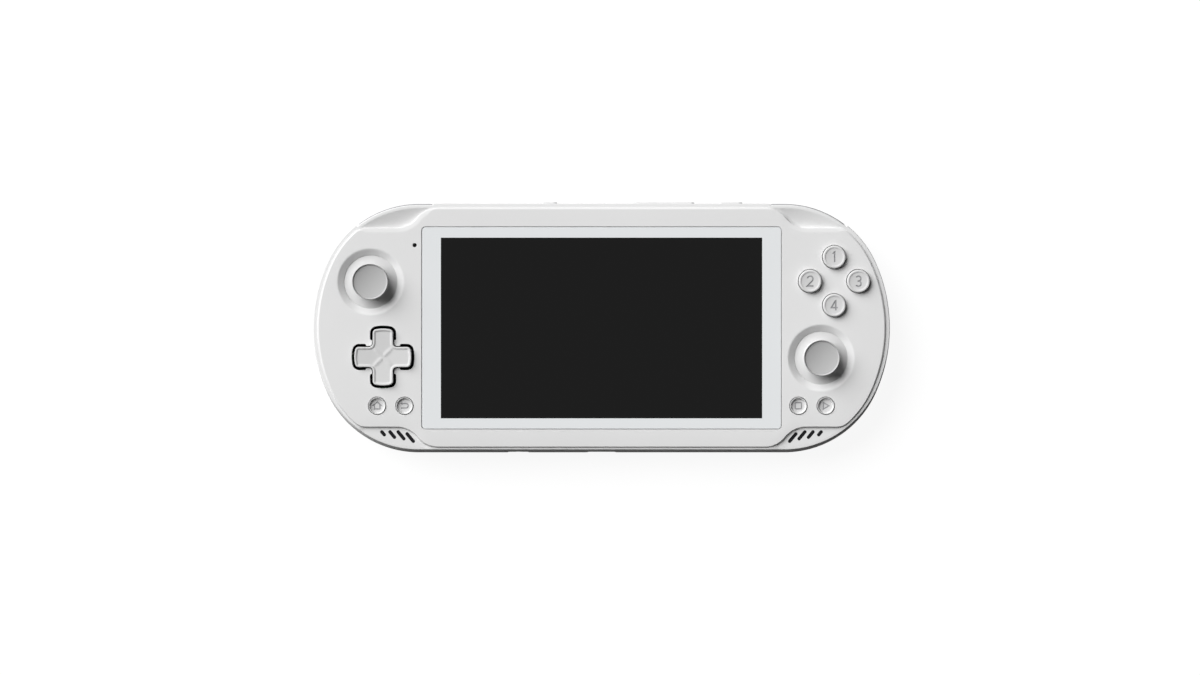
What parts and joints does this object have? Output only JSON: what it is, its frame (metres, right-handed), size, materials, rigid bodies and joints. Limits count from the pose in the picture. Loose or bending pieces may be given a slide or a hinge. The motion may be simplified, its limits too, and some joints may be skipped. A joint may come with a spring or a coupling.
{
  "type": "handheld game console",
  "caption": "Handheld game console with a wide display between thumb sticks, a D-pad, round face buttons, menu buttons, shoulder buttons and edge ports.",
  "frame": {"origin": "on the back face, under the middle of the console, which lies on its back", "axes": "+X to the right of the display, +Y to the top edge, +Z out of the display"},
  "size_m": [0.1986, 0.0863, 0.0196],
  "materials": {
    "shell_white": "fine matt white",
    "control_white": "smooth satin white",
    "cap_rubber": "matt mid-grey rubber",
    "shoulder_grey": "satin mid-grey",
    "lens_glass": "clear glass, white border printed behind it",
    "screen_black": "screen that is switched off",
    "mat_rubber": "black silicone",
    "board_green": "solder mask",
    "steel": "plain steel",
    "aluminium": "plain sheet",
    "battery_foil": "wrapped foil pouch",
    "black_plastic": "moulded black"
  },
  "bodies": {
    "console": {"front_panel": "shell_white", "middle_frame": "shell_white", "back_cover": "shell_white", "display_lens": "lens_glass", "display_panel": "screen_black", "dpad_mat": "mat_rubber", "face_mat": "mat_rubber", "left_board": "board_green", "right_board": "board_green", "main_board": "board_green", "port_board": "board_green", "shoulder_boards": "board_green", "housing_screws": "steel", "board_screws": "steel", "shoulder_pins": "steel", "dpad_post": "steel", "usb_shell": "steel", "card_socket": "steel", "main_shield": "aluminium", "heat_spreader": "aluminium", "battery": "battery_foil", "left_stick_base": "black_plastic", "right_stick_base": "black_plastic", "menu_switches": "black_plastic", "shoulder_switches": "black_plastic", "edge_switches": "black_plastic", "usb_tongue": "black_plastic", "headphone_jack": "black_plastic", "left_speaker": "black_plastic", "right_speaker": "black_plastic", "speaker_gauzes": "black_plastic", "microphone": "black_plastic"},
    "left_stick_gimbal": {"left_stick_gimbal": "black_plastic"},
    "left_stick_lever": {"left_stick_lever": "steel"},
    "left_stick": {"left_stick_dome": "control_white", "left_stick_cap": "cap_rubber"},
    "right_stick_gimbal": {"right_stick_gimbal": "black_plastic"},
    "right_stick_lever": {"right_stick_lever": "steel"},
    "right_stick": {"right_stick_dome": "control_white", "right_stick_cap": "cap_rubber"},
    "dpad_ball": {"dpad_ball": "steel"},
    "dpad": {"dpad": "control_white"},
    "button_top": {"button_top": "control_white"},
    "button_left": {"button_left": "control_white"},
    "button_right": {"button_right": "control_white"},
    "button_bottom": {"button_bottom": "control_white"},
    "menu_home": {"menu_home": "control_white"},
    "menu_back": {"menu_back": "control_white"},
    "menu_square": {"menu_square": "control_white"},
    "menu_start": {"menu_start": "control_white"},
    "left_bumper": {"left_bumper": "shoulder_grey"},
    "right_bumper": {"right_bumper": "shoulder_grey"},
    "left_trigger": {"left_trigger": "shoulder_grey"},
    "right_trigger": {"right_trigger": "shoulder_grey"},
    "volume_rocker": {"volume_rocker": "control_white"},
    "power_button": {"power_button": "control_white"},
    "option_button": {"option_button": "control_white"}
  },
  "joints": [
    {"name": "left_stick_up_down", "type": "hinge", "parent": "console", "child": "left_stick_gimbal", "pos_m": [-0.0795, 0.0159, 0.008], "axis": [1, 0, 0], "range_deg": [-17, 17], "stiffness_Nm_per_rad": 0.02},
    {"name": "left_stick_left_right", "type": "hinge", "parent": "left_stick_gimbal", "child": "left_stick_lever", "pos_m": [-0.0795, 0.0159, 0.008], "axis": [0, 1, 0], "range_deg": [-17, 17], "stiffness_Nm_per_rad": 0.02},
    {"name": "left_stick_press", "type": "slide", "parent": "left_stick_lever", "child": "left_stick", "axis": [0, 0, -1], "range_m": [0, 0.0004], "stiffness_N_per_m": 1500},
    {"name": "right_stick_up_down", "type": "hinge", "parent": "console", "child": "right_stick_gimbal", "pos_m": [0.0756, -0.0103, 0.008], "axis": [1, 0, 0], "range_deg": [-17, 17], "stiffness_Nm_per_rad": 0.02},
    {"name": "right_stick_left_right", "type": "hinge", "parent": "right_stick_gimbal", "child": "right_stick_lever", "pos_m": [0.0756, -0.0103, 0.008], "axis": [0, 1, 0], "range_deg": [-17, 17], "stiffness_Nm_per_rad": 0.02},
    {"name": "right_stick_press", "type": "slide", "parent": "right_stick_lever", "child": "right_stick", "axis": [0, 0, -1], "range_m": [0, 0.0004], "stiffness_N_per_m": 1500},
    {"name": "dpad_up_down", "type": "hinge", "parent": "console", "child": "dpad_ball", "pos_m": [-0.0752, -0.01, 0.0133], "axis": [1, 0, 0], "range_deg": [-6, 6], "stiffness_Nm_per_rad": 0.15},
    {"name": "dpad_left_right", "type": "hinge", "parent": "dpad_ball", "child": "dpad", "pos_m": [-0.0752, -0.01, 0.0133], "axis": [0, 1, 0], "range_deg": [-6, 6], "stiffness_Nm_per_rad": 0.15},
    {"name": "button_top_press", "type": "slide", "parent": "console", "child": "button_top", "axis": [0, 0, -1], "range_m": [0, 0.001], "stiffness_N_per_m": 400},
    {"name": "button_left_press", "type": "slide", "parent": "console", "child": "button_left", "axis": [0, 0, -1], "range_m": [0, 0.001], "stiffness_N_per_m": 400},
    {"name": "button_right_press", "type": "slide", "parent": "console", "child": "button_right", "axis": [0, 0, -1], "range_m": [0, 0.001], "stiffness_N_per_m": 400},
    {"name": "button_bottom_press", "type": "slide", "parent": "console", "child": "button_bottom", "axis": [0, 0, -1], "range_m": [0, 0.001], "stiffness_N_per_m": 400},
    {"name": "menu_home_press", "type": "slide", "parent": "console", "child": "menu_home", "axis": [0, 0, -1], "range_m": [0, 0.0004], "stiffness_N_per_m": 800},
    {"name": "menu_back_press", "type": "slide", "parent": "console", "child": "menu_back", "axis": [0, 0, -1], "range_m": [0, 0.0004], "stiffness_N_per_m": 800},
    {"name": "menu_square_press", "type": "slide", "parent": "console", "child": "menu_square", "axis": [0, 0, -1], "range_m": [0, 0.0004], "stiffness_N_per_m": 800},
    {"name": "menu_start_press", "type": "slide", "parent": "console", "child": "menu_start", "axis": [0, 0, -1], "range_m": [0, 0.0004], "stiffness_N_per_m": 800},
    {"name": "left_bumper_press", "type": "hinge", "parent": "console", "child": "left_bumper", "pos_m": [-0.0558, 0.0394, 0.0083], "axis": [0, 0, 1], "range_deg": [0, 3], "stiffness_Nm_per_rad": 0.5},
    {"name": "right_bumper_press", "type": "hinge", "parent": "console", "child": "right_bumper", "pos_m": [0.0558, 0.0394, 0.0083], "axis": [0, 0, -1], "range_deg": [0, 3], "stiffness_Nm_per_rad": 0.5},
    {"name": "left_trigger_press", "type": "hinge", "parent": "console", "child": "left_trigger", "pos_m": [-0.0558, 0.0394, 0.0047], "axis": [0, 0, 1], "range_deg": [0, 3], "stiffness_Nm_per_rad": 0.5},
    {"name": "right_trigger_press", "type": "hinge", "parent": "console", "child": "right_trigger", "pos_m": [0.0558, 0.0394, 0.0047], "axis": [0, 0, -1], "range_deg": [0, 3], "stiffness_Nm_per_rad": 0.5},
    {"name": "volume_rock", "type": "hinge", "parent": "console", "child": "volume_rocker", "pos_m": [0.02133, 0.0406, 0.0096], "axis": [0, 0, 1], "range_deg": [-1.2, 1.2], "stiffness_Nm_per_rad": 0.2},
    {"name": "power_button_press", "type": "slide", "parent": "console", "child": "power_button", "axis": [0, -1, 0], "range_m": [0, 0.0003], "stiffness_N_per_m": 1200},
    {"name": "option_button_press", "type": "slide", "parent": "console", "child": "option_button", "axis": [0, -1, 0], "range_m": [0, 0.0003], "stiffness_N_per_m": 1200}
  ]
}
